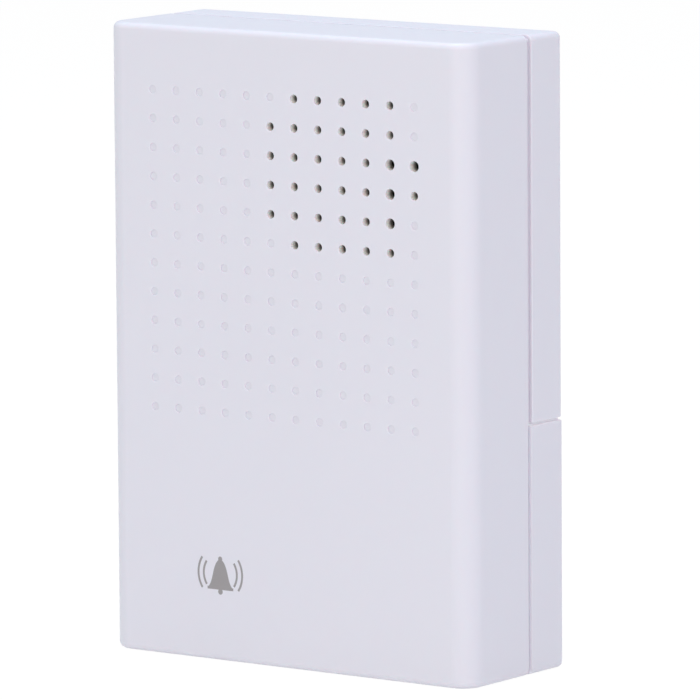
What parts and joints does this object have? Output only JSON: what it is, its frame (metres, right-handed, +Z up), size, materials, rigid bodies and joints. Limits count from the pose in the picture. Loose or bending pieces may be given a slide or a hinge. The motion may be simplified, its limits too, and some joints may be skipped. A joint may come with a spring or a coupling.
{
  "type": "doorbell chime",
  "caption": "Upright box-shaped indoor doorbell chime with a perforated front, a loudspeaker behind it and a battery compartment under a rear cover.",
  "frame": {"origin": "middle of the base of the closed case", "axes": "+Z up, +X to the right seen from the front, +Y from the front face to the wall"},
  "size_m": [0.0836, 0.0308, 0.12],
  "materials": {
    "cover_plastic": "semi-gloss white moulded plastic, fine spark texture",
    "rear_plastic": "semi-gloss white moulded plastic",
    "door_plastic": "semi-gloss white moulded plastic",
    "zinc_screw": "bright zinc plating",
    "felt": "pressed black felt",
    "basket_steel": "zinc-plated sheet and turned steel",
    "surround_rubber": "coated black cloth",
    "cone_paper": "pulped black paper",
    "former_paper": "kraft paper",
    "copper_wire": "enamelled copper wire",
    "spider_cloth": "resin-dipped cloth",
    "ferrite": "sintered ferrite",
    "phenolic": "phenolic paper sheet",
    "tag_brass": "tinned brass",
    "board": "phenolic paper board with green lacquer",
    "chip_black": "moulded epoxy",
    "capacitor_sleeve": "dark blue shrink sleeve",
    "resistor_body": "beige lacquer",
    "ceramic_orange": "orange dipped lacquer",
    "solder": "bright solder",
    "terminal_green": "green glass-filled plastic",
    "nickel_steel": "nickel-plated spring steel",
    "lead_red": "soft vinyl insulation",
    "lead_black": "soft vinyl insulation",
    "cell_steel": "nickel-plated steel can",
    "cell_sleeve": "printed shrink sleeve, bare of text"
  },
  "bodies": {
    "case": {"front_cover": "cover_plastic", "rear_shell": "rear_plastic", "case_screws": "zinc_screw", "speaker_gasket": "felt", "speaker_basket": "basket_steel", "speaker_surround": "surround_rubber", "speaker_spider": "spider_cloth", "speaker_top_plate": "basket_steel", "speaker_magnet": "ferrite", "speaker_yoke": "basket_steel", "speaker_tag_strip": "phenolic", "speaker_tags": "tag_brass", "speaker_washers": "zinc_screw", "speaker_screws": "zinc_screw", "circuit_board": "board", "board_screws": "zinc_screw", "melody_chip": "chip_black", "reservoir_capacitor": "capacitor_sleeve", "coupling_capacitor": "capacitor_sleeve", "resistors": "resistor_body", "transistors": "chip_black", "ceramic_capacitors": "ceramic_orange", "polarity_diode": "chip_black", "solder_joints": "solder", "terminal_block": "terminal_green", "terminal_cages": "nickel_steel", "terminal_screws": "zinc_screw", "speaker_lead_red": "lead_red", "speaker_lead_black": "lead_black", "battery_lead_black": "lead_black", "cell_1": "cell_steel", "cell_2": "cell_steel", "cell_3": "cell_steel", "cell_sleeve_1": "cell_sleeve", "cell_sleeve_2": "cell_sleeve", "cell_sleeve_3": "cell_sleeve", "contact_positive": "nickel_steel", "contact_negative": "nickel_steel", "contact_bridge_left": "nickel_steel", "contact_bridge_right": "nickel_steel", "contact_springs": "nickel_steel"},
    "rear_cover": {"battery_door": "door_plastic"},
    "cone": {"speaker_cone": "cone_paper", "speaker_dust_cap": "cone_paper", "voice_coil_former": "former_paper", "voice_coil": "copper_wire"}
  },
  "joints": [
    {"name": "rear_cover_pull", "type": "slide", "parent": "case", "child": "rear_cover", "axis": [0, 1, 0], "range_m": [0, 0.03]},
    {"name": "cone_stroke", "type": "slide", "parent": "case", "child": "cone", "axis": [0, 1, 0], "range_m": [-0.0005, 0.0005], "stiffness_N_per_m": 20, "deforming": ["speaker_surround", "speaker_spider"]}
  ]
}
